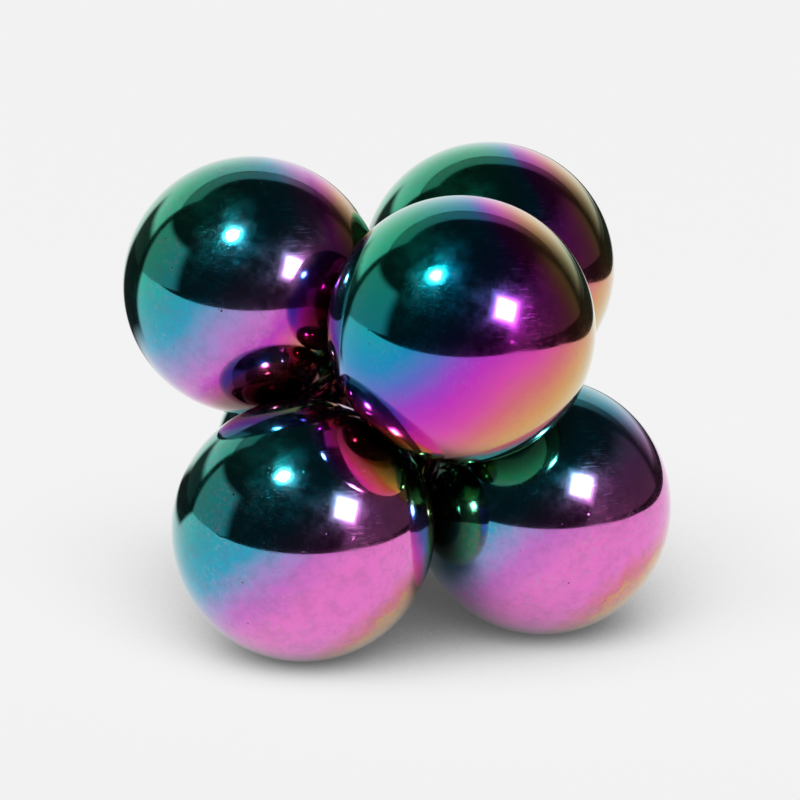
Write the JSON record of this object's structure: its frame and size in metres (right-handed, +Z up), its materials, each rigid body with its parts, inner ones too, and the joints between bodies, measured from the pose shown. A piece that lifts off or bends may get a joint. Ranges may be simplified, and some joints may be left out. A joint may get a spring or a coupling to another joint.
{
  "type": "magnetic ball set",
  "caption": "Large mirror-polished magnetic balls with rainbow plating, stuck together in two stacked rings as a desk toy.",
  "frame": {"origin": "on the table, under the middle of the stack of balls", "axes": "+Z up, +Y from the front of the stack to its back, +X to the right"},
  "size_m": [0.0662, 0.0712, 0.06],
  "materials": {
    "rainbow_plating": "mirror-polished rainbow plating: teal, blue, violet, magenta and gold round each ball"
  },
  "bodies": {
    "base_ball_back": {"base_ball_back": "rainbow_plating"},
    "base_ball_left": {"base_ball_left": "rainbow_plating"},
    "base_ball_right": {"base_ball_right": "rainbow_plating"},
    "top_ball_front": {"top_ball_front": "rainbow_plating"},
    "top_ball_left": {"top_ball_left": "rainbow_plating"},
    "top_ball_right": {"top_ball_right": "rainbow_plating"}
  },
  "joints": [
    {"name": "base_ball_left_pull", "type": "slide", "parent": "base_ball_back", "child": "base_ball_left", "axis": [-0.866, -0.5, 0], "range_m": [0, 0.033]},
    {"name": "base_ball_right_pull", "type": "slide", "parent": "base_ball_back", "child": "base_ball_right", "axis": [0.866, -0.5, 0], "range_m": [0, 0.033]},
    {"name": "top_ball_front_roll", "type": "hinge", "parent": "base_ball_left", "child": "top_ball_front", "pos_m": [0, -0.00956, 0.0165], "axis": [1, 0, 0], "range_deg": [0, 70.5]},
    {"name": "top_ball_left_roll", "type": "hinge", "parent": "base_ball_back", "child": "top_ball_left", "pos_m": [-0.00827, 0.00478, 0.0165], "axis": [-0.5, -0.866, 0], "range_deg": [0, 70.5]},
    {"name": "top_ball_right_roll", "type": "hinge", "parent": "base_ball_back", "child": "top_ball_right", "pos_m": [0.00827, 0.00478, 0.0165], "axis": [-0.5, 0.866, 0], "range_deg": [0, 70.5]}
  ]
}
